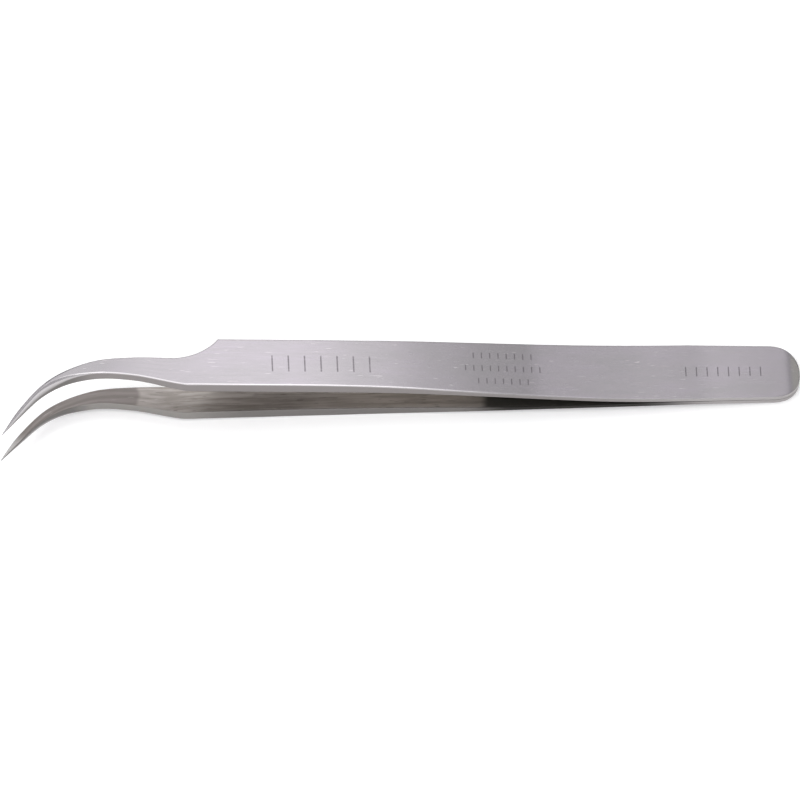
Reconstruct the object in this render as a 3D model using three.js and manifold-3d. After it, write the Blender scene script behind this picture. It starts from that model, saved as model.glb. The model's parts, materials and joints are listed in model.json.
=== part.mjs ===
// Precision tweezers with fine curved points.
// Two ground steel arms, mirror images of each other, are welded face to face at the heel.
// Each arm is thin and springy just in front of the heel, thick where the fingers press,
// and runs out through a narrow shank into a needle point that curves to one side.
//
// Arm frame, in millimetres: x runs from the points (0) to the end of the heel,
// y runs across the width, and z is the height above the plane between the two arms.
import * as THREE from "three";
import { mergeVertices } from "three/addons/utils/BufferGeometryUtils.js";
import Module from "manifold-3d";

const wasm = await Module();
wasm.setup();

// Overall size
const LENGTH = 115.75;
const SPRING_HALF_WIDTH_BACK = 4.68;
const SPRING_HALF_WIDTH_FRONT = 4.6;
const GRIP_HALF_WIDTH_BACK = 4.14;
const GRIP_HALF_WIDTH_FRONT = 3.7;
const POINT_REACH = 11.15;
const POINT_HALF_GAP = 3.42;
const POINT_THICKNESS = 0.12;
const POINT_BLUNTING = { x: 0.1, y: 0.07 };

// Heel: the flat, welded end, whose rounding is a little squarer at the front than at the back
const HEEL_ROUNDING = 4.42;
const HEEL_BACK = { halfWidth: 4.42, squareness: 2.1 };
const HEEL_FRONT = { halfWidth: 4.34, squareness: 2.5 };
const HEEL_THICKNESS = 0.78;
const HEEL_BEVEL_LENGTH = 1.5;
const HEEL_BEVEL_DEPTH = 0.2;
const HEEL_FLAT_LENGTH = 14;
const INNER_FACE_HALF_GAP = 0.06;

// Weld: the thin layer that joins the two inner faces at the heel
const WELD_HALF_THICKNESS = 0.04;
const WELD_LENGTH = 8.5;
const WELD_MARGIN = 0.5;

// Shoulder: where the wide blade steps down to the shank, as a concave arc
const SHOULDER_X = 31.5;
const SHOULDER_CORNER = 0.3;
const SHOULDER_ARC_RADIUS = 9;
const SHOULDER_ARC_ANGLE = 0.83;
const SHANK_BACK = 0.88;

// Finger pad: the straight stretch of the outer face that the fingers press
const PAD_START = { x: 48, z: 4.06 };
const PAD_END = { x: 36, z: 4.45 };

// Flexure: where each arm is cut so that its blade can turn on the heel as the steel bends
const FLEX_X = 86.2;
const FLEX_GAP = 0.3;

// Facets for each stretch of curve, and the least distance between two outline points
const PROFILE_SEGMENTS = 3;
const OUTLINE_SEGMENTS = 6;
const HEEL_END_STEPS = 9;
const LEAST_STEP = 0.01;

function points(...pairs) {
  return pairs.map(([x, y]) => new THREE.Vector2(x, y));
}

// The rounded end of the heel, from its front corner to its back corner, set in by a margin.
// A squareness of 2 is a true quarter of an ellipse.
function drawHeelEnd(shape, margin) {
  const centre = LENGTH - HEEL_ROUNDING;
  const reach = HEEL_ROUNDING - margin;
  shape.moveTo(centre, margin - HEEL_FRONT.halfWidth);
  for (let i = 1 - HEEL_END_STEPS; i < HEEL_END_STEPS; i += 1) {
    const { halfWidth, squareness } = i < 0 ? HEEL_FRONT : HEEL_BACK;
    const turn = (Math.PI / 2) * (i / HEEL_END_STEPS);
    const across = Math.sign(i) * Math.abs(Math.sin(turn)) ** (2 / squareness);
    const along = Math.cos(turn) ** (2 / squareness);
    shape.lineTo(centre + reach * along, (halfWidth - margin) * across);
  }
  shape.lineTo(centre, HEEL_BACK.halfWidth - margin);
}

// Outline of an arm seen square on to its flat faces, walked from the heel along the back edge
// to the point and home along the front edge.
function planOutline() {
  const arcX = SHOULDER_X - SHOULDER_ARC_RADIUS * Math.sin(SHOULDER_ARC_ANGLE) - SHOULDER_CORNER;
  const arcY = SHANK_BACK + SHOULDER_ARC_RADIUS;
  const shape = new THREE.Shape();
  drawHeelEnd(shape, 0);
  shape.lineTo(100, SPRING_HALF_WIDTH_BACK);
  shape.splineThru(points([91, 4.56], [70, 4.37], [50, GRIP_HALF_WIDTH_BACK]));
  shape.lineTo(SHOULDER_X, GRIP_HALF_WIDTH_BACK);
  shape.quadraticCurveTo(
    SHOULDER_X - SHOULDER_CORNER / 2,
    GRIP_HALF_WIDTH_BACK,
    arcX + SHOULDER_ARC_RADIUS * Math.sin(SHOULDER_ARC_ANGLE),
    arcY - SHOULDER_ARC_RADIUS * Math.cos(SHOULDER_ARC_ANGLE),
  );
  shape.absarc(arcX, arcY, SHOULDER_ARC_RADIUS, SHOULDER_ARC_ANGLE - Math.PI / 2, -Math.PI / 2, true);
  shape.splineThru(
    points([18.9, 1], [13.1, 0.28], [7.2, -2.36], [2.7, -6.95], [0, POINT_BLUNTING.y - POINT_REACH]),
  );
  shape.lineTo(POINT_BLUNTING.x, -POINT_REACH);
  shape.splineThru(
    points([2.7, -8.2], [5.7, -5.05], [8.8, -3.05], [12, -2.03], [15.2, -1.72], [19.5, -2.14], [23.3, -2.98]),
  );
  shape.quadraticCurveTo(26.1, -3.67, 26.9, -GRIP_HALF_WIDTH_FRONT);
  shape.lineTo(45, -GRIP_HALF_WIDTH_FRONT);
  shape.splineThru(points([57, -3.83], [71, -4.28], [84, -4.58], [93, -SPRING_HALF_WIDTH_FRONT]));
  return shape;
}

// The outer face from the end of the heel to the point, as heights above the middle plane.
function drawOuterFace(shape, side) {
  const at = (...pairs) => points(...pairs.map(([x, z]) => [x, side * z]));
  shape.moveTo(LENGTH, side * (HEEL_THICKNESS - HEEL_BEVEL_DEPTH));
  shape.lineTo(LENGTH - HEEL_BEVEL_LENGTH, side * HEEL_THICKNESS);
  shape.lineTo(LENGTH - HEEL_FLAT_LENGTH, side * HEEL_THICKNESS);
  shape.splineThru(
    at([91, 1.08], [81, 1.62], [70, 2.5], [58, 3.5], [PAD_START.x, PAD_START.z]),
  );
  shape.lineTo(PAD_END.x, side * PAD_END.z);
  shape.splineThru(
    at([28, 4.72], [20, 4.88], [14, 4.99], [9, 5.26], [5, 5.26], [2.5, 4.6], [0, POINT_HALF_GAP + POINT_THICKNESS]),
  );
}

// The inner face from the point back to the end of the heel.
function drawInnerFace(shape, side) {
  const at = (...pairs) => points(...pairs.map(([x, z]) => [x, side * z]));
  shape.lineTo(0, side * POINT_HALF_GAP);
  shape.splineThru(
    at([7, 3.37], [13, 3.31], [21, 3.35], [28, 2.88], [44, 2.36], [58, 1.98], [70, 1.52], [81, 0.83], [91, 0.24]),
  );
  shape.splineThru(at([LENGTH - HEEL_FLAT_LENGTH, INNER_FACE_HALF_GAP]));
  shape.lineTo(LENGTH, side * INNER_FACE_HALF_GAP);
}

// A flat outline as a solid of the given depth, without the doubled points where its curves meet.
function extruded(shape, depth, segments) {
  const outline = shape
    .getPoints(segments)
    .filter((p, i, all) => p.distanceTo(all[(i + 1) % all.length]) > LEAST_STEP);
  return new THREE.ExtrudeGeometry(new THREE.Shape(outline), { depth, bevelEnabled: false });
}

// A closed three.js geometry as a solid, and back.
function solid(geometry) {
  const bare = geometry.clone();
  bare.deleteAttribute("normal");
  bare.deleteAttribute("uv");
  const merged = mergeVertices(bare, 1e-4);
  return new wasm.Manifold(
    new wasm.Mesh({
      numProp: 3,
      vertProperties: merged.attributes.position.array,
      triVerts: new Uint32Array(merged.index.array),
    }),
  );
}

function geometryOf(body) {
  const { vertProperties, triVerts } = body.getMesh();
  const geometry = new THREE.BufferGeometry();
  geometry.setAttribute("position", new THREE.BufferAttribute(vertProperties, 3));
  geometry.setIndex(new THREE.BufferAttribute(triVerts, 1));
  geometry.computeVertexNormals();
  return geometry;
}

// A block between two places along the arms, wider and taller than any arm.
function slab(fromX, toX) {
  const block = new THREE.BoxGeometry(toX - fromX, 40, 40);
  return solid(block.translate((fromX + toX) / 2, 0, 0));
}

// One whole arm: its side profile drawn across the full width, cut to the plan outline.
// side is 1 for the upper arm and -1 for the lower one.
function armSolid(side) {
  const profile = new THREE.Shape();
  drawOuterFace(profile, side);
  drawInnerFace(profile, side);
  const across = extruded(profile, 40, PROFILE_SEGMENTS).rotateX(Math.PI / 2).translate(0, 20, 0);
  const through = extruded(planOutline(), 20, OUTLINE_SEGMENTS).translate(0, 0, -10);
  return solid(across).intersect(solid(through));
}

// The weld has the rounded outline of the heel, set in a little from its rim.
function weldGeometry() {
  const outline = new THREE.Shape();
  drawHeelEnd(outline, WELD_MARGIN);
  outline.lineTo(LENGTH - WELD_LENGTH, HEEL_BACK.halfWidth - WELD_MARGIN);
  outline.lineTo(LENGTH - WELD_LENGTH, WELD_MARGIN - HEEL_FRONT.halfWidth);
  const layer = extruded(outline, 2 * WELD_HALF_THICKNESS, OUTLINE_SEGMENTS);
  return layer.translate(0, 0, -WELD_HALF_THICKNESS);
}

const groundSteel = new THREE.MeshStandardMaterial({
  color: 0xb4aeb3,
  roughness: 0.42,
  metalness: 1,
});
const weldSteel = new THREE.MeshStandardMaterial({
  color: 0x8f8a88,
  roughness: 0.6,
  metalness: 1,
});

function node(name, geometry, material) {
  const mesh = new THREE.Mesh(geometry, material.clone());
  mesh.name = name;
  return mesh;
}

function addArm(group, name, side) {
  const arm = armSolid(side);
  const blade = arm.intersect(slab(-10, FLEX_X - FLEX_GAP / 2));
  const heel = arm.intersect(slab(FLEX_X + FLEX_GAP / 2, LENGTH + 10));
  group.add(node(`${name}_heel`, geometryOf(heel), groundSteel));
  group.add(node(`${name}_blade`, geometryOf(blade), groundSteel));
}

// Lying on a table, the tweezers rest on the heel's rear edge and on the bow of the lower arm.
// The tilt is the steepest line from that edge to the outer face.
function restingTilt() {
  const face = new THREE.Shape();
  drawOuterFace(face, 1);
  const edge = LENGTH - HEEL_BEVEL_LENGTH;
  const slopes = face
    .getPoints(PROFILE_SEGMENTS)
    .filter((p) => p.x < edge - 1)
    .map((p) => (p.y - HEEL_THICKNESS) / (edge - p.x));
  return Math.atan(Math.max(...slopes));
}

const tweezers = new THREE.Group();
addArm(tweezers, "upper_arm", 1);
addArm(tweezers, "lower_arm", -1);
tweezers.add(node("heel_weld", weldGeometry(), weldSteel));
tweezers.rotation.y = restingTilt();

// The part's own frame: +X towards the heel, +Z up, origin in the middle of the table under it.
const part = new THREE.Group();
part.add(tweezers);
part.updateMatrixWorld(true);
const box = new THREE.Box3().setFromObject(part, true);
const middle = box.getCenter(new THREE.Vector3());
tweezers.position.set(-middle.x, -middle.y, -box.min.z);

export default part;
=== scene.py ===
import json
import math

import bmesh
import bpy
import numpy as np
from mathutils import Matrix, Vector


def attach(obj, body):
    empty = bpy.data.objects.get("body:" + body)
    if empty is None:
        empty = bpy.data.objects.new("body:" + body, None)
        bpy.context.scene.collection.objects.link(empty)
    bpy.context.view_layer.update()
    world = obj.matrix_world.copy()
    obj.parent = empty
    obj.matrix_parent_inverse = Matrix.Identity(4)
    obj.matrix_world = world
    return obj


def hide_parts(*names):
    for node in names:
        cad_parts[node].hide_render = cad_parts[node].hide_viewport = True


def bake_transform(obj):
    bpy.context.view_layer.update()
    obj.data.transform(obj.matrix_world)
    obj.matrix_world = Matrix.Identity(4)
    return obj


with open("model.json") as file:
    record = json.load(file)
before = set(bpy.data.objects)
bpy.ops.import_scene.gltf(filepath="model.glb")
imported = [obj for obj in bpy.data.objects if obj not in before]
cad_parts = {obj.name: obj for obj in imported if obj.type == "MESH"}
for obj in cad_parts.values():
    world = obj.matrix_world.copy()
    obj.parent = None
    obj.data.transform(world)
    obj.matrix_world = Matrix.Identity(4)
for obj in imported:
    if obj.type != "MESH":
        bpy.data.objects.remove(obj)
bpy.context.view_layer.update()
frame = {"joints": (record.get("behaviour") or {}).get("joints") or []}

MM = 0.001

# The arms' own frame, in millimetres: x runs from the points to the end of the heel, y across
# the width, z up from the plane between the arms.
LENGTH = 115.75
HEEL_ROUNDING = 4.42
HEEL_BACK, HEEL_BACK_SQUARENESS = 4.42, 2.1
HEEL_FRONT, HEEL_FRONT_SQUARENESS = -4.34, 2.5
HEEL_THICKNESS = 0.78
HEEL_BEVEL_LENGTH = 1.5
HEEL_BEVEL_DEPTH = 0.2
BEVEL_EDGE_SOFTNESS = 0.2
FLEX_X = 86.2
INNER_HALF_GAP = 0.06
WELD_LENGTH = 8.5

GRIP_BACK = 4.14
GRIP_FRONT = -3.7
SHOULDER_X = 31.5
SHOULDER_CORNER = 0.3
SHOULDER_ARC = 9.0
SHOULDER_ANGLE = 0.83
SHANK_BACK = 0.88
SHANK_X = 23.3
SHANK_FRONT = -2.98
HOLLOW_CONTROL = (26.1, -3.67)
HOLLOW_END = 26.9

# The two edges of the point, from the shank to the tip and from the tip to the shank
BACK_OF_POINT = [
    (24.96, SHANK_BACK), (18.9, 1.0), (13.1, 0.28), (7.2, -2.36), (2.7, -6.95), (0, -11.08),
]
FRONT_OF_POINT = [
    (0.1, -11.15), (2.7, -8.2), (5.7, -5.05), (8.8, -3.05), (12, -2.03), (15.2, -1.72),
    (19.5, -2.14), (SHANK_X, SHANK_FRONT),
]
BACK_OF_BLADE = [(50, GRIP_BACK), (70, 4.37), (91, 4.56), (100, 4.68)]
FRONT_OF_BLADE = [(45, GRIP_FRONT), (57, -3.83), (71, -4.28), (84, -4.58), (93, -4.6)]

# Heights of the outer and the inner face. The finger pad is the straight stretch of the outer face.
PAD_START, PAD_END = (48, 4.06), (36, 4.45)
OUTER_OF_POINT = [
    (0, 3.54), (2.5, 4.6), (5, 5.26), (9, 5.26), (14, 4.99), (20, 4.88), (28, 4.72), PAD_END,
]
OUTER_OF_BLADE = [PAD_START, (58, 3.5), (70, 2.5), (81, 1.62), (91, 1.08), (101.75, HEEL_THICKNESS)]
INNER = [
    (0, 3.42), (7, 3.37), (13, 3.31), (21, 3.35), (28, 2.88), (44, 2.36), (58, 1.98),
    (70, 1.52), (81, 0.83), (91, 0.24), (101.75, INNER_HALF_GAP),
]

# Radius of the outer edges, which are sharper at the heel, and of the inner ones, which are
# sharpest along the weld
EDGE_ROUND = 0.22
HEEL_EDGE_ROUND = 0.12
HEEL_EDGE_FADE = (75, 105)
INNER_EDGE_ROUND = 0.05
WELDED_EDGE_ROUND = 0.012
WELD_LEAD_IN = 3

# Lengths from the tip over which the outer face grows round, and how round it gets there, as
# shares of the arm's width and thickness
ROUND_STARTS = 18.0
ROUND_FULL = 9.0
POINT_ROUND_INSET = 0.46
POINT_ROUND_DEPTH = 0.72
# How much the edge polish and its painted highlight fade where the point grows round
POINT_POLISH_AND_HIGHLIGHT_FADE = 0.25

# Where the arm is slender, its inner edges take up no more than these shares of it
SLENDER_LENGTH = 50
MOST_OF_WIDTH = 0.2
MOST_OF_THICKNESS = 0.25

# Stations along an arm: how many on the point, then where they start and end and how many on
# the shoulder and on the blade, then how many round the end of the heel
POINT_STATIONS = 110
SHOULDER_STATIONS = (25.2, 33.5, 56)
BLADE_STATIONS = (33.9, LENGTH - HEEL_ROUNDING, 130)
HEEL_END_STATIONS = 30
FRONT_CATCHES_UP = (25, 33)

# The rim of the weld: how far it is set in, how far it bulges out again, and its faint ripple
WELD_RECESS = 0.07
WELD_BULGE = 0.06
WELD_HALF_THICKNESS = INNER_HALF_GAP - 0.004
WELD_RIPPLE = 0.006
WELD_RIPPLE_TURNS = (2.1, 0.37)
WELD_RIM_ANGLES = [-90, -60, -30, 0, 30, 60, 90]

TINY_WIDTH = 1e-9
MERGE_DISTANCE = 2e-7


# ---------------------------------------------------------------- curves and placing

def arm_frame():
    """The arms' frame in the row frame, from the two hinges on either side of the middle plane."""
    pivots = {j["name"]: Vector(j["pos_m"]) for j in frame["joints"]}
    upper, lower = pivots["upper_flex"], pivots["lower_flex"]
    up = (upper - lower).normalized()
    across = Vector((0, 1, 0))
    along = across.cross(up).normalized()
    return (upper + lower) / 2, along, across, up


ORIGIN, ALONG, ACROSS, UP = arm_frame()


def place(points):
    """Arm-frame points in millimetres as row-frame points in metres."""
    p = np.asarray(points, float)
    axes = np.array([ALONG, ACROSS, UP])
    return np.array(ORIGIN) + ((p - [FLEX_X, 0, 0]) * MM) @ axes


def spline(knots, steps=20):
    """A smooth curve through the knots, with the same number of points on each stretch."""
    k = np.array([knots[0], *knots, knots[-1]], float)
    out = []
    for i in range(len(knots) - 1):
        before, a, b, after = k[i:i + 4]
        leave, arrive = (b - before) / 2, (after - a) / 2
        for t in np.arange(steps) / steps:
            hold = 2 * t**3 - 3 * t**2 + 1
            leaving = (t**3 - 2 * t**2 + t) * leave
            arriving = (t**3 - t**2) * arrive
            out.append(hold * a + (1 - hold) * b + leaving + arriving)
    out.append(k[-1])
    return np.array(out)


def bend(start, control, end, steps=8):
    """A parabola from start to end, without its first point."""
    t = np.linspace(0, 1, steps)[1:, None]
    return (1 - t) ** 2 * np.array(start) + 2 * t * (1 - t) * np.array(control) + t * t * np.array(end)


def smooth_height(curve, spread=1.3, margin=12.0, step=0.05, spreads_kept=4):
    """The height of a polyline as a function of x, with its creases softened."""
    x = np.arange(-margin, LENGTH + margin, step)
    rise = (curve[1, 1] - curve[0, 1]) / (curve[1, 0] - curve[0, 0])
    before = curve[0] - [margin, margin * rise]
    y = np.interp(x, np.r_[before[0], curve[:, 0]], np.r_[before[1], curve[:, 1]])
    reach = int(spreads_kept * spread / step)
    kernel = np.exp(-0.5 * (np.arange(-reach, reach + 1) * step / spread) ** 2)
    soft = np.convolve(np.pad(y, reach, mode="edge"), kernel / kernel.sum(), mode="valid")
    return lambda at: np.interp(at, x, soft)


outer_without_bevel = smooth_height(np.vstack([spline(OUTER_OF_POINT), spline(OUTER_OF_BLADE)]))
inner_height = smooth_height(spline(INNER))


def outer_height(x):
    """Height of the outer face, with the bevel at the end of the heel and a soft edge to it."""
    past_edge = (np.asarray(x, float) - (LENGTH - HEEL_BEVEL_LENGTH)) / BEVEL_EDGE_SOFTNESS
    run = BEVEL_EDGE_SOFTNESS * np.logaddexp(0, past_edge)
    return outer_without_bevel(x) - run * HEEL_BEVEL_DEPTH / HEEL_BEVEL_LENGTH


def resample(curve, count):
    """count + 1 points evenly spaced along a polyline."""
    run = np.r_[0, np.cumsum(np.linalg.norm(np.diff(curve, axis=0), axis=1))]
    at = np.linspace(0, run[-1], count + 1)
    return np.c_[np.interp(at, run, curve[:, 0]), np.interp(at, run, curve[:, 1])]


def ease(low, high, value):
    """0 below low, 1 above high, smooth between."""
    t = np.clip((np.asarray(value, float) - low) / (high - low), 0, 1)
    return t * t * (3 - 2 * t)


# ---------------------------------------------------------------- the arm's outline

def back_edge():
    """The back edge from the shank to the round heel, as a polyline."""
    sweep = np.linspace(0, SHOULDER_ANGLE, 16)
    arc_x = SHOULDER_X - SHOULDER_CORNER - SHOULDER_ARC * math.sin(SHOULDER_ANGLE)
    arc = np.c_[
        arc_x + SHOULDER_ARC * np.sin(sweep),
        SHANK_BACK + SHOULDER_ARC * (1 - np.cos(sweep)),
    ]
    control = (SHOULDER_X - SHOULDER_CORNER / 2, GRIP_BACK)
    corner = bend(arc[-1], control, (SHOULDER_X, GRIP_BACK))
    return np.vstack([arc, corner, spline(BACK_OF_BLADE), [(LENGTH - HEEL_ROUNDING, HEEL_BACK)]])


def front_edge():
    """The front edge from the shank to the round heel, as a polyline."""
    start = (SHANK_X, SHANK_FRONT)
    corner = bend(start, HOLLOW_CONTROL, (HOLLOW_END, GRIP_FRONT), steps=14)
    return np.vstack([start, corner, spline(FRONT_OF_BLADE), [(LENGTH - HEEL_ROUNDING, HEEL_FRONT)]])


def heel_end(turn, squareness):
    """How far along and across the round end of the heel reaches at each turn, as shares of 1."""
    along = np.sin(turn) ** (2 / HEEL_FRONT_SQUARENESS)
    return along, np.maximum(1 - along ** squareness, 0) ** (1 / squareness)


def stations():
    """Matching points on the back and the front edge, from the point of the arm to the heel."""
    point_back = resample(spline(BACK_OF_POINT)[::-1], POINT_STATIONS)
    point_front = resample(spline(FRONT_OF_POINT), POINT_STATIONS)
    between = np.r_[np.linspace(*SHOULDER_STATIONS), np.linspace(*BLADE_STATIONS)]
    lag = point_back[-1, 0] - point_front[-1, 0]
    front_x = between - lag * (1 - ease(*FRONT_CATCHES_UP, between))
    back, front = back_edge(), front_edge()
    mid_back = np.c_[between, np.interp(between, back[:, 0], back[:, 1])]
    mid_front = np.c_[front_x, np.interp(front_x, front[:, 0], front[:, 1])]
    turn = np.linspace(0, math.pi / 2, HEEL_END_STATIONS + 1)[1:]
    corners = []
    for y, squareness in ((HEEL_BACK, HEEL_BACK_SQUARENESS), (HEEL_FRONT, HEEL_FRONT_SQUARENESS)):
        along, across = heel_end(turn, squareness)
        corners.append(np.c_[LENGTH - HEEL_ROUNDING * (1 - along), y * across])
    return (
        np.vstack([point_back, mid_back, corners[0]]),
        np.vstack([point_front, mid_front, corners[1]]),
    )


def inward(edge, arm_side):
    """Unit vectors square to an edge, towards the arm, which lies on the arm_side of it."""
    run = np.gradient(edge, axis=0)
    run[-1] = (0, arm_side)
    run /= np.linalg.norm(run, axis=1)[:, None]
    return arm_side * np.c_[-run[:, 1], run[:, 0]]


# ---------------------------------------------------------------- the arm's mesh

OUTER, WALL, INSIDE = 0.0, 1.0, 2.0
CORNER_STEPS = 6
FACE_STOPS = [0.02, 0.12, 0.3, 0.5, 0.7, 0.88, 0.98]
WALL_STOPS = [0.08, 0.5, 0.92]


class Sections:
    """Cross-sections of the upper arm, one closed ring of columns for each station."""

    def __init__(self):
        back, front = stations()
        self.edges = {"back": back, "front": front}
        self.inward = {"back": inward(back, -1), "front": inward(front, 1)}
        self.middle = (back + front) / 2
        steps = np.linalg.norm(np.diff(self.middle, axis=0), axis=1)
        self.from_point = np.r_[0, np.cumsum(steps)]
        self.width = np.linalg.norm(back - front, axis=1)
        self.rounding = 1 - ease(ROUND_FULL, ROUND_STARTS, self.from_point)
        self.face_roundings_together()
        self.columns, self.zones, self.polish_and_highlight = [], [], []
        self.face(INSIDE, "back", "front")
        self.wall("front", 1)
        self.face(OUTER, "front", "back")
        self.wall("back", -1)

    def face_roundings_together(self):
        """Turns the two roundings of the point to run straight at each other, so they never cross."""
        chord = self.edges["front"] - self.edges["back"]
        chord = chord / np.maximum(self.width, TINY_WIDTH)[:, None]
        share = np.minimum(1, 2 * self.rounding)[:, None]
        for side, towards in (("back", chord), ("front", -chord)):
            turned = self.inward[side] * (1 - share) + towards * share
            self.inward[side] = turned / np.linalg.norm(turned, axis=1)[:, None]

    def add(self, xy, z, zone, polish_and_highlight=0.0):
        """One more column of points, one on each ring, with its zone, edge polish and painted
        highlight.
        """
        self.columns.append(np.c_[xy, z])
        self.zones.append(zone)
        self.polish_and_highlight.append(polish_and_highlight * (1 - POINT_POLISH_AND_HIGHLIGHT_FADE * self.rounding))

    def outer_corner(self, side):
        """Inset and depth of the rounding of the outer face's edge, which grows to a round point."""
        x = self.edges[side][:, 0]
        thickness = outer_height(x) - inner_height(x)
        plain = EDGE_ROUND + (HEEL_EDGE_ROUND - EDGE_ROUND) * ease(*HEEL_EDGE_FADE, x)
        inset = plain + (POINT_ROUND_INSET * self.width - plain) * self.rounding
        depth = plain + (POINT_ROUND_DEPTH * thickness - plain) * self.rounding
        return inset, depth

    def inner_corner(self):
        """Radius of the inner face's edge, small at the point and nearly sharp along the weld."""
        weld_start = LENGTH - WELD_LENGTH
        welded = ease(weld_start - WELD_LEAD_IN, weld_start, self.middle[:, 0])
        plain = INNER_EDGE_ROUND + (WELDED_EDGE_ROUND - INNER_EDGE_ROUND) * welded
        slender = np.minimum(plain, MOST_OF_WIDTH * self.width)
        return np.where(self.from_point < SLENDER_LENGTH, slender, plain)

    def face(self, zone, start, end):
        """The columns across a flat face, between the insets of its two edges."""
        height = outer_height if zone == OUTER else inner_height
        for stop in FACE_STOPS:
            ends = []
            for side in (start, end):
                inset = self.outer_corner(side)[0] if zone == OUTER else self.inner_corner()
                ends.append(self.edges[side] + self.inward[side] * inset[:, None])
            xy = ends[0] * (1 - stop) + ends[1] * stop
            self.add(xy, height(xy[:, 0]), zone)

    def wall(self, side, order):
        """The columns of a side wall and the corners above and below it."""
        edge, square = self.edges[side], self.inward[side]
        low, high = inner_height(edge[:, 0]), outer_height(edge[:, 0])
        small = self.inner_corner()
        rise = np.minimum(small, MOST_OF_THICKNESS * (high - low))
        inset, depth = self.outer_corner(side)
        top = high - depth
        steps = []
        for turn in (90, 45, 0):
            c, s = math.cos(math.radians(turn)), math.sin(math.radians(turn))
            xy = edge + square * (small * (1 - c))[:, None]
            steps.append((xy, low + rise * (1 - s), WALL, 0.0))
        for stop in WALL_STOPS:
            steps.append((edge, (low + rise) * (1 - stop) + top * stop, WALL, 0.0))
        for i in range(CORNER_STEPS + 1):
            turn = math.radians(90 * i / CORNER_STEPS)
            xy = edge + square * (inset * (1 - math.cos(turn)))[:, None]
            zone = WALL + (OUTER - WALL) * i / CORNER_STEPS
            # sin(2 * turn) peaks half-way round the outer edge: the edge's polish there, and the
            # painted highlight that the material gives it
            steps.append((xy, top + depth * math.sin(turn), zone, math.sin(2 * turn)))
        for step in steps[::order]:
            self.add(*step)

    def rings(self):
        """Every ring of points, from the tip to the heel."""
        return np.stack(self.columns, axis=1)

    def steel_place(self, rings, side):
        """Along, across and height in millimetres: the arm's own x and y, bent along the point."""
        line = self.middle.copy()
        straight = line[:, 0] > SHANK_X
        level = line[straight][0, 1]
        line[straight, 1] = level
        ahead = np.gradient(line, axis=0)
        ahead[straight] = (1, 0)
        ahead /= np.linalg.norm(ahead, axis=1)[:, None]
        sideways = np.c_[-ahead[:, 1], ahead[:, 0]]
        run = np.r_[0, np.cumsum(np.linalg.norm(np.diff(line, axis=0), axis=1))]
        offset = rings[:, :, :2] - line[:, None]
        along = (run - run[-1] + LENGTH)[:, None] + np.einsum("ijk,ik->ij", offset, ahead)
        across = level + np.einsum("ijk,ik->ij", offset, sideways)
        return np.stack([along, across, side * rings[:, :, 2]], axis=2)


def ring_faces(rows, columns, flip):
    """Quads between neighbouring rings, and the cap on the first ring."""
    faces = []
    for i in range(rows - 1):
        for j in range(columns):
            a, b = i * columns + j, i * columns + (j + 1) % columns
            quad = (a, b, b + columns, a + columns)
            faces.append(quad[::-1] if flip else quad)
    cap = tuple(range(columns))
    faces.append(cap if flip else cap[::-1])
    return faces


def merge_doubles(data):
    """Joins the vertices that lie on one another, and turns every face outwards."""
    b = bmesh.new()
    b.from_mesh(data)
    bmesh.ops.remove_doubles(b, verts=b.verts, dist=MERGE_DISTANCE)
    bmesh.ops.dissolve_degenerate(b, edges=b.edges, dist=MERGE_DISTANCE)
    bmesh.ops.recalc_face_normals(b, faces=b.faces)
    b.to_mesh(data)
    b.free()


def make_piece(name, verts, faces, attributes):
    """A smooth-shaded piece with its doubled vertices merged and its vertex attributes set."""
    data = bpy.data.meshes.new(name)
    data.from_pydata([tuple(v) for v in verts], [], faces)
    for key, values in attributes.items():
        values = np.asarray(values, np.float32)
        vector = values.shape[-1] == 3
        layer = data.attributes.new(key, "FLOAT_VECTOR" if vector else "FLOAT", "POINT")
        layer.data.foreach_set("vector" if vector else "value", values.ravel())
    piece = bpy.data.objects.new(name, data)
    bpy.context.scene.collection.objects.link(piece)
    merge_doubles(data)
    data.polygons.foreach_set("use_smooth", [True] * len(data.polygons))
    return piece


def make_arm(name, side, material):
    """One arm in a single mesh. side is 1 for the upper arm and -1 for the lower one."""
    sections = Sections()
    rings = sections.rings()
    rows, columns = rings.shape[:2]
    attributes = {
        "steel_place": sections.steel_place(rings, side).reshape(-1, 3),
        "steel_zone": np.tile(sections.zones, rows),
        # How polished each column is; the material also paints the edge highlight from it
        "steel_edge_polish_and_highlight": np.stack(sections.polish_and_highlight, axis=1).ravel(),
    }
    verts = place((rings * [1, 1, side]).reshape(-1, 3))
    arm = make_piece(name, verts, ring_faces(rows, columns, side < 0), attributes)
    arm.data.materials.append(material)
    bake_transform(arm)
    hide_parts(name + "_heel", name + "_blade")


# ---------------------------------------------------------------- the weld

def make_weld(material):
    """The fused layer between the heels: a thin pad whose rim bulges out to the ground outline."""
    back, front = stations()
    welded = back[:, 0] > LENGTH - WELD_LENGTH
    outline = np.vstack([front[welded], back[welded][-2::-1]])
    square = np.vstack([inward(front, 1)[welded], inward(back, -1)[welded][-2::-1]])
    count = len(outline)
    quick, slow = WELD_RIPPLE_TURNS
    ripple = WELD_RIPPLE * np.sin(np.arange(count) * quick) * np.sin(np.arange(count) * slow)
    rings = []
    for tilt in np.radians(WELD_RIM_ANGLES):
        inset = WELD_RECESS - (WELD_BULGE + ripple) * math.cos(tilt)
        height = np.full(count, WELD_HALF_THICKNESS * math.sin(tilt))
        rings.append(np.c_[outline + square * inset[:, None], height])
    verts = np.vstack(rings)
    faces = ring_faces(len(rings), count, False)
    faces.append(tuple(range((len(rings) - 1) * count, len(rings) * count)))
    weld = make_piece("heel_weld_seam", place(verts), faces, {"steel_place": verts})
    weld.data.materials.append(material)
    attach(weld, "heel")
    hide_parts("heel_weld")


# ---------------------------------------------------------------- materials

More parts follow.
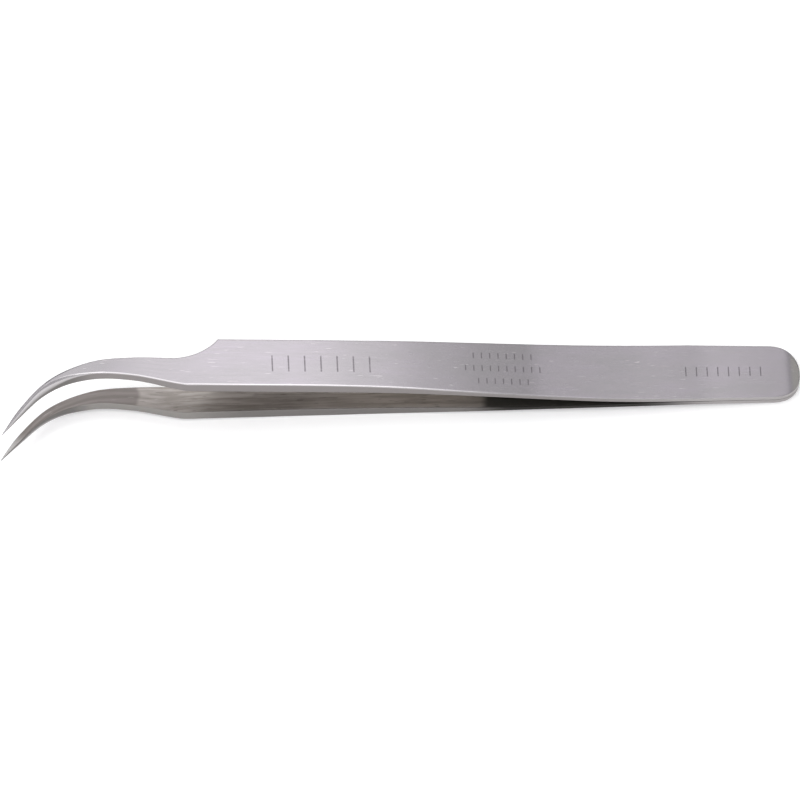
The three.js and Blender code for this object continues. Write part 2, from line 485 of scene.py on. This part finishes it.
class Graph:
    """Adds nodes to a new material and joins them."""

    def __init__(self, name):
        self.material = bpy.data.materials.new(name)
        self.material.use_nodes = True
        self.tree = self.material.node_tree
        self.shader = self.tree.nodes["Principled BSDF"]

    def feed(self, socket, value):
        """Links an output to the socket, or sets the socket to a plain value."""
        if isinstance(value, bpy.types.NodeSocket):
            self.tree.links.new(value, socket)
        else:
            socket.default_value = value

    def attribute(self, name, output):
        node = self.tree.nodes.new("ShaderNodeAttribute")
        node.attribute_name = name
        return node.outputs[output]

    def stretched(self, vector, scale):
        """The vector with each part multiplied by its own factor."""
        node = self.tree.nodes.new("ShaderNodeVectorMath")
        node.operation = "MULTIPLY"
        self.feed(node.inputs[0], vector)
        node.inputs[1].default_value = scale
        return node.outputs["Vector"]

    def noise(self, vector, detail=2.0, roughness=0.5):
        node = self.tree.nodes.new("ShaderNodeTexNoise")
        self.feed(node.inputs["Vector"], vector)
        node.inputs["Scale"].default_value = 1.0
        node.inputs["Detail"].default_value = detail
        node.inputs["Roughness"].default_value = roughness
        return node.outputs["Fac"]

    def math(self, operation, a, b=0.0):
        node = self.tree.nodes.new("ShaderNodeMath")
        node.operation = operation
        self.feed(node.inputs[0], a)
        self.feed(node.inputs[1], b)
        return node.outputs[0]

    def remap(self, value, low, high, to_low=0.0, to_high=1.0):
        """The value carried from one range to another, smoothly and without overshoot."""
        node = self.tree.nodes.new("ShaderNodeMapRange")
        node.interpolation_type = "SMOOTHSTEP"
        self.feed(node.inputs["Value"], value)
        bounds = {"From Min": low, "From Max": high, "To Min": to_low, "To Max": to_high}
        for key, bound in bounds.items():
            self.feed(node.inputs[key], bound)
        return node.outputs["Result"]

    def mix(self, share, a, b):
        """A colour between a and b."""
        node = self.tree.nodes.new("ShaderNodeMix")
        node.data_type = "RGBA"
        self.feed(node.inputs[0], share)
        for socket, colour in ((node.inputs[6], a), (node.inputs[7], b)):
            self.feed(socket, colour if isinstance(colour, bpy.types.NodeSocket) else (*colour, 1))
        return node.outputs[2]

    def split(self, vector):
        node = self.tree.nodes.new("ShaderNodeSeparateXYZ")
        self.feed(node.inputs[0], vector)
        return node.outputs["X"], node.outputs["Y"], node.outputs["Z"]

    def bump(self, height, distance, strength=1.0):
        node = self.tree.nodes.new("ShaderNodeBump")
        node.inputs["Distance"].default_value = distance
        node.inputs["Strength"].default_value = strength
        self.feed(node.inputs["Height"], height)
        return node.outputs["Normal"]


OUTER_COLOUR = (0.34, 0.32, 0.34)
OUTER_SHADE = (0.325, 0.31, 0.325)
OUTER_TINT = (0.352, 0.327, 0.357)
POINT_SHADE = (0.20, 0.195, 0.20)
BAND_SHADE = (0.22, 0.21, 0.215)
BEVEL_COLOUR = (0.40, 0.385, 0.37)
WALL_COLOUR = (0.26, 0.241, 0.239)
# Painted light and shade on the walls: lighter at the heel, darker on the lower arm, near-black by the
# gap between the arms, darker on the round point
HEEL_WALL_PAINTED_LIGHT = (0.40, 0.38, 0.38)
LOWER_WALL_PAINTED_SHADE = (0.205, 0.194, 0.187)
LOWER_TIP_WALL = (0.30, 0.286, 0.273)
POINT_WALL_PAINTED_SHADE = (0.165, 0.156, 0.149)
GAP_WALL_PAINTED_SHADE = (0.03, 0.028, 0.026)
INNER_COLOUR = (0.48, 0.445, 0.425)
INNER_DARK = (0.30, 0.275, 0.255)
# Painted light: lighter colours for the inner face from the middle of the arm on, where the other arm
# shades it
INNER_PAINTED_LIGHT = (0.60, 0.56, 0.53)
INNER_PAINTED_LIGHT_DARK = (0.42, 0.39, 0.36)
TIP_BRIGHT = (0.43, 0.42, 0.415)
TIP_INNER = (0.23, 0.205, 0.20)
TIP_INNER_DARK = (0.17, 0.155, 0.145)
# Painted shade of the narrow gap between the arms, near-black, over steel left unground there
GAP_PAINTED_SHADE = (0.16, 0.152, 0.138)
GOUGE = (0.15, 0.135, 0.125)
BRIGHT_SCRATCH = (0.62, 0.59, 0.60)
# Painted highlight along the rounded outer edges
EDGE_HIGHLIGHT_COLOUR = (0.80, 0.77, 0.79)
ETCHED = (0.09, 0.08, 0.09)
WELD_COLOUR = (0.25, 0.235, 0.23)
WELD_DARK = (0.16, 0.15, 0.145)

# Places along the arm, each pair from where one colour starts to give way to where the next is
# full; many of these colours are painted shade or painted light rather than finishes. The inner face
# is ground again from SECOND_GRIND to the point, and from about 70 mm along to the weld it is
# near-black: partly steel left as rolled, mostly painted shade of the narrow gap between the arms.
POINT_SHADE_PLACES = (22, 12)
BAND_STARTS = (44, 56)
BAND_DEEPENS = (64, 70)
BAND_ENDS = (79, 75.5)
BEVEL_START = LENGTH - HEEL_BEVEL_LENGTH - 0.1
BEVEL_PLACES = (BEVEL_START, BEVEL_START + 0.8)
# Where the painted light on the inner face comes in
INNER_PAINTED_LIGHT_PLACES = (38, 58)
INNER_SHADE_PLACES = (30, 22)
TIP_BRIGHT_PLACES = (2, -2.5)
SECOND_GRIND = (20.0 - 0.3, 20.0 - 1.1)
# From here to the weld the inner face is near-black: unground steel under painted shade of the gap
UNGROUND_AND_SHADED = (69.8, 69.8 + 1.4)
# Where the walls' painted shade and light come and go
LOWER_TIP_PLACES = (36, 26)
GAP_WALL_PLACES = (66, 74)
LOWER_HEEL_PLACES = (92, 105)
HEEL_WALL_PLACES = (78, 105)
POINT_WALL_PLACES = (14, 9)
# Where the painted edge highlight fades, from the front of the arm towards the heel
EDGE_HIGHLIGHT_PLACES = (55, 75)

# How tightly each pattern repeats along, across and through the steel
GRAIN_SCALE = (0.16, 9.0, 9.0)
STREAK_SCALE = (0.09, 2.1, 2.1)
CLOUD_SCALE = (0.11, 0.3, 0.3)
DASH_SCALE = (0.45, 6.0, 6.0)
WOBBLE_SCALE = (0.0, 0.5, 0.0)
WELD_SCALE = (4.0, 4.0, 12.0)

# How strongly each mark shows
OUTER_SCRATCHES = 0.4
INNER_SCRATCHES = 0.3
INNER_GOUGES = 0.6
GRIND_RELIEF = 0.000006
WELD_RELIEF = 0.00001

# Plain etched tick marks on the outer face of the upper arm:
# first tick, spacing, how many, middle of the row, height of a tick, width of its line
TICK_ROWS = [
    (39.2, 2.35, 7, 0.0, 2.7, 0.2),
    (68.4, 1.2, 8, 2.15, 0.95, 0.15),
    (67.2, 1.2, 10, 0.0, 0.95, 0.15),
    (69.0, 1.2, 7, -2.15, 0.95, 0.15),
    (99.2, 1.55, 8, 0.1, 1.6, 0.16),
]


def tick_row(g, along, across, row):
    """1 on the ticks of one row, 0 off them."""
    first, spacing, count, middle, height, line = row
    soft = 0.05
    cell = g.math("FRACT", g.math("DIVIDE", g.math("SUBTRACT", along, first - spacing / 2), spacing))
    off_line = g.math("MULTIPLY", g.math("ABSOLUTE", g.math("SUBTRACT", cell, 0.5)), spacing)
    off_row = g.math("ABSOLUTE", g.math("SUBTRACT", across, middle))
    row_middle = first + spacing * (count - 1) / 2
    off_span = g.math("ABSOLUTE", g.math("SUBTRACT", along, row_middle))
    on_line = g.remap(off_line, line / 2 + soft, line / 2 - soft)
    in_height = g.remap(off_row, height / 2 + soft, height / 2 - soft)
    in_span = g.remap(off_span, spacing * count / 2 + soft, spacing * count / 2 - soft)
    return g.math("MULTIPLY", on_line, g.math("MULTIPLY", in_height, in_span))


class GroundSteel(Graph):
    """Satin steel, ground lengthwise: fine grain, faint streaks, a few scratches, polished edges with
    a painted highlight, and painted shade and light on faces and walls.
    """

    def __init__(self):
        super().__init__("ground_steel")
        self.place = self.attribute("steel_place", "Vector")
        self.zone = self.attribute("steel_zone", "Fac")
        # How polished each edge is: it lowers the roughness and also places the painted edge highlight
        self.edge = self.attribute("steel_edge_polish_and_highlight", "Fac")
        self.along, self.across, height = self.split(self.place)
        # 1 on the lower arm and 0 on the upper: the lower arm's walls take painted shade from it, and
        #                                        the ticks stay on the upper arm
        self.below = self.remap(height, 0.3, -0.3)
        self.grain = self.pattern(GRAIN_SCALE, 3.0, 0.6)
        self.streaks = self.pattern(STREAK_SCALE, 3.0, 0.6)
        self.clouds = self.pattern(CLOUD_SCALE)
        self.wobble = self.pattern(WOBBLE_SCALE)
        dashes = self.pattern(DASH_SCALE, 1.0)
        self.bright_dash = self.remap(dashes, 0.70, 0.78)
        self.dark_dash = self.remap(dashes, 0.36, 0.27)

    def pattern(self, scale, detail=2.0, roughness=0.5):
        return self.noise(self.stretched(self.place, scale), detail, roughness)

    def between(self, places, low=0.0, high=1.0):
        """Runs from low to high between two places along the arm."""
        return self.remap(self.along, *places, low, high)

    def ticks(self):
        """1 on the tick marks of the upper arm, and less where the grain wears them away."""
        ticks = tick_row(self, self.along, self.across, TICK_ROWS[0])
        for row in TICK_ROWS[1:]:
            ticks = self.math("MAXIMUM", ticks, tick_row(self, self.along, self.across, row))
        ticks = self.math("MULTIPLY", ticks, self.math("SUBTRACT", 1.0, self.below))
        return self.math("MULTIPLY", ticks, self.remap(self.grain, 0.25, 0.55, 0.35, 0.8))

    def outer_face(self):
        colour = self.mix(self.remap(self.clouds, 0.35, 0.65), OUTER_SHADE, OUTER_TINT)
        colour = self.mix(self.remap(self.streaks, 0.3, 0.7), colour, OUTER_COLOUR)
        colour = self.mix(self.between(POINT_SHADE_PLACES, 0.0, 0.45), colour, POINT_SHADE)
        ragged = self.math("ADD", self.along, self.math("MULTIPLY", self.clouds, 8.0))
        band = self.math("MULTIPLY", self.remap(ragged, *BAND_STARTS), self.between(BAND_ENDS))
        depth = self.between(BAND_DEEPENS, 0.2, 0.46)
        colour = self.mix(self.math("MULTIPLY", band, depth), colour, BAND_SHADE)
        colour = self.mix(self.between(BEVEL_PLACES), colour, BEVEL_COLOUR)
        scratches = self.math("MULTIPLY", self.bright_dash, OUTER_SCRATCHES)
        colour = self.mix(scratches, colour, BRIGHT_SCRATCH)
        return self.mix(self.ticks(), colour, ETCHED)

    def inner_face(self):
        streaky = self.remap(self.streaks, 0.32, 0.68)
        colour = self.mix(streaky, INNER_DARK, INNER_COLOUR)
        # Painted light on the inner face from the middle of the arm towards the heel, where the other
        # arm shades it
        lightened = self.mix(streaky, INNER_PAINTED_LIGHT_DARK, INNER_PAINTED_LIGHT)
        colour = self.mix(self.between(INNER_PAINTED_LIGHT_PLACES), colour, lightened)
        shaded = self.mix(streaky, TIP_INNER_DARK, TIP_INNER)
        colour = self.mix(self.between(INNER_SHADE_PLACES, 0.0, 0.4), colour, shaded)
        ragged = self.math("SUBTRACT", self.along, self.math("MULTIPLY", self.wobble, 1.5))
        colour = self.mix(self.remap(ragged, *SECOND_GRIND), colour, shaded)
        colour = self.mix(self.between(TIP_BRIGHT_PLACES), colour, TIP_BRIGHT)
        scratches = self.math("MULTIPLY", self.bright_dash, INNER_SCRATCHES)
        colour = self.mix(scratches, colour, BRIGHT_SCRATCH)
        colour = self.mix(self.math("MULTIPLY", self.dark_dash, INNER_GOUGES), colour, GOUGE)
        # Painted shade: near-black inner face from about 70 mm along to the weld, in the gap between
        # the arms, over steel left unground there
        ragged = self.math("ADD", self.along, self.math("MULTIPLY", self.wobble, 1.2))
        return self.mix(self.remap(ragged, *UNGROUND_AND_SHADED), colour, GAP_PAINTED_SHADE)

    def walls(self):
        # Painted shade and light on the walls: the lower arm's walls are painted darker than the
        # upper's, less so towards the point, and near-black where they face the gap between the arms;
        # the walls are painted lighter at the heel against the floor's shadow and darker on the round
        # point.
        lower = self.mix(self.between(LOWER_TIP_PLACES), LOWER_WALL_PAINTED_SHADE, LOWER_TIP_WALL)
        lower = self.mix(self.between(GAP_WALL_PLACES), lower, GAP_WALL_PAINTED_SHADE)
        lower = self.mix(self.between(LOWER_HEEL_PLACES), lower, HEEL_WALL_PAINTED_LIGHT)
        upper = self.mix(self.between(HEEL_WALL_PLACES), WALL_COLOUR, HEEL_WALL_PAINTED_LIGHT)
        colour = self.mix(self.below, upper, lower)
        return self.mix(self.between(POINT_WALL_PLACES), colour, POINT_WALL_PAINTED_SHADE)

    def roughness(self):
        finish = self.remap(self.zone, 0.2, 0.9, 0.25, 0.45)
        finish = self.math("ADD", finish, self.remap(self.grain, 0.2, 0.8, -0.03, 0.03))
        return self.math("SUBTRACT", finish, self.math("MULTIPLY", self.edge, 0.1))

    def finished(self):
        """The whole steel, with its faces, walls, polished edges with their painted highlight, and
        grain.
        """
        colour = self.mix(self.remap(self.zone, 0.7, 0.3), self.walls(), self.outer_face())
        colour = self.mix(self.remap(self.zone, 1.3, 1.7), colour, self.inner_face())
        # Painted highlight: bright colour along the rounded outer edges, strong at the front, faint
        # towards the heel
        edge_highlight = self.math("MULTIPLY", self.edge, self.between(EDGE_HIGHLIGHT_PLACES, 0.7, 0.15))
        relief = self.math("ADD", self.grain, self.math("MULTIPLY", self.streaks, 0.6))
        self.feed(self.shader.inputs["Base Color"], self.mix(edge_highlight, colour, EDGE_HIGHLIGHT_COLOUR))
        self.feed(self.shader.inputs["Roughness"], self.roughness())
        self.feed(self.shader.inputs["Normal"], self.bump(relief, GRIND_RELIEF))
        self.shader.inputs["Metallic"].default_value = 1.0
        return self.material


def weld_steel():
    """Darker, slightly scaly steel of the weld line."""
    g = Graph("weld_steel")
    scale = g.noise(g.stretched(g.attribute("steel_place", "Vector"), WELD_SCALE), detail=3.0)
    colour = g.mix(g.remap(scale, 0.3, 0.7), WELD_DARK, WELD_COLOUR)
    g.feed(g.shader.inputs["Base Color"], colour)
    g.feed(g.shader.inputs["Roughness"], g.remap(scale, 0.2, 0.8, 0.45, 0.65))
    g.feed(g.shader.inputs["Normal"], g.bump(scale, WELD_RELIEF))
    g.shader.inputs["Metallic"].default_value = 1.0
    return g.material


# ---------------------------------------------------------------- stage

# Each light: name, centre, width and depth, radiance
SOFT_BOXES = [
    ("top_box", (-0.1275, -0.1, 0.3), (0.445, 1.0), 0.98),
    ("bright_box", (0.034, 0.05, 0.29), (0.05, 0.7), 0.68),
]

# The sky's brightness follows its height, measured square to a line that leans to the back
SKY_UP = (0, -0.4, 1)
SKY_SPAN, SKY_SHIFT = 0.6, 0.4
SKY_LOW = (0.18, (0.6, 0.6, 0.61, 1))
SKY_BAND = (0.36, (0.13, 0.13, 0.13, 1))
SKY_HIGH = (0.67, (0.7, 0.7, 0.71, 1))

FLOOR_SIZE = 6
FLOOR_DROP = 0.00002
FLOOR_COLOUR = (0.93, 0.93, 0.93, 1)
FLOOR_ROUGHNESS = 0.8
FLOOR_GLOW = 0.2

VIEW_AZIMUTH, VIEW_ELEVATION = math.radians(-2.45), math.radians(57.88)
VIEW_DISTANCE = 2.0
VIEW_CENTRE = (-0.00013, -0.00098, 0.00438)
VIEW_LENS = 624.4
VIEW_CLIP = (0.01, 20)


def soft_box(name, centre, size, radiance):
    """A rectangular light of the given width and depth, facing straight down."""
    light = bpy.data.lights.new(name, "AREA")
    light.shape = "RECTANGLE"
    light.size, light.size_y = size
    light.energy = radiance * size[0] * size[1] * math.pi
    lamp = bpy.data.objects.new(name, light)
    lamp.location = centre
    lamp.rotation_mode = "QUATERNION"
    lamp.rotation_quaternion = Vector((0, 0, -centre[2])).to_track_quat("-Z", "Y")
    bpy.context.scene.collection.objects.link(lamp)


def make_sky():
    """A pale sky with a soft dark band low down behind, so that back edges show a dark rim."""
    world = bpy.data.worlds.new("studio")
    world.use_nodes = True
    tree = world.node_tree
    direction = tree.nodes.new("ShaderNodeTexCoord")
    height = tree.nodes.new("ShaderNodeVectorMath")
    height.operation = "DOT_PRODUCT"
    height.inputs[1].default_value = SKY_UP
    shift = tree.nodes.new("ShaderNodeMath")
    shift.operation = "MULTIPLY_ADD"
    shift.inputs[1].default_value = SKY_SPAN
    shift.inputs[2].default_value = SKY_SHIFT
    ramp = tree.nodes.new("ShaderNodeValToRGB")
    tree.links.new(direction.outputs["Generated"], height.inputs[0])
    tree.links.new(height.outputs["Value"], shift.inputs[0])
    tree.links.new(shift.outputs[0], ramp.inputs["Fac"])
    tree.links.new(ramp.outputs["Color"], tree.nodes["Background"].inputs["Color"])
    stops = ramp.color_ramp.elements
    stops[0].position, stops[0].color = SKY_LOW
    stops[1].position, stops[1].color = SKY_HIGH
    stops.new(SKY_BAND[0]).color = SKY_BAND[1]
    return world


def make_stage():
    """A pale floor just under the tweezers, the sky and the lights."""
    bpy.ops.mesh.primitive_plane_add(size=FLOOR_SIZE, location=(0, 0, -FLOOR_DROP))
    floor = bpy.context.object
    floor.name = "floor"
    material = bpy.data.materials.new("floor_white")
    material.use_nodes = True
    shader = material.node_tree.nodes["Principled BSDF"]
    shader.inputs["Base Color"].default_value = FLOOR_COLOUR
    shader.inputs["Roughness"].default_value = FLOOR_ROUGHNESS
    shader.inputs["Emission Color"].default_value = (1, 1, 1, 1)
    shader.inputs["Emission Strength"].default_value = FLOOR_GLOW
    floor.data.materials.append(material)
    bpy.context.scene.world = make_sky()
    for light in SOFT_BOXES:
        soft_box(*light)


def make_camera():
    """Looks along +Y and down, from far enough away that the view is almost parallel."""
    back = Vector((
        math.sin(VIEW_AZIMUTH) * math.cos(VIEW_ELEVATION),
        -math.cos(VIEW_AZIMUTH) * math.cos(VIEW_ELEVATION),
        math.sin(VIEW_ELEVATION),
    ))
    data = bpy.data.cameras.new("camera")
    data.lens = VIEW_LENS
    data.clip_start, data.clip_end = VIEW_CLIP
    camera = bpy.data.objects.new("camera", data)
    camera.location = Vector(VIEW_CENTRE) + back * VIEW_DISTANCE
    camera.rotation_mode = "QUATERNION"
    camera.rotation_quaternion = (-back).to_track_quat("-Z", "Y")
    bpy.context.scene.collection.objects.link(camera)
    bpy.context.scene.camera = camera


make_camera()
make_stage()
bpy.context.scene.view_settings.view_transform = "Standard"

steel = GroundSteel().finished()
make_arm("upper_arm", 1, steel)
make_arm("lower_arm", -1, steel)
make_weld(weld_steel())
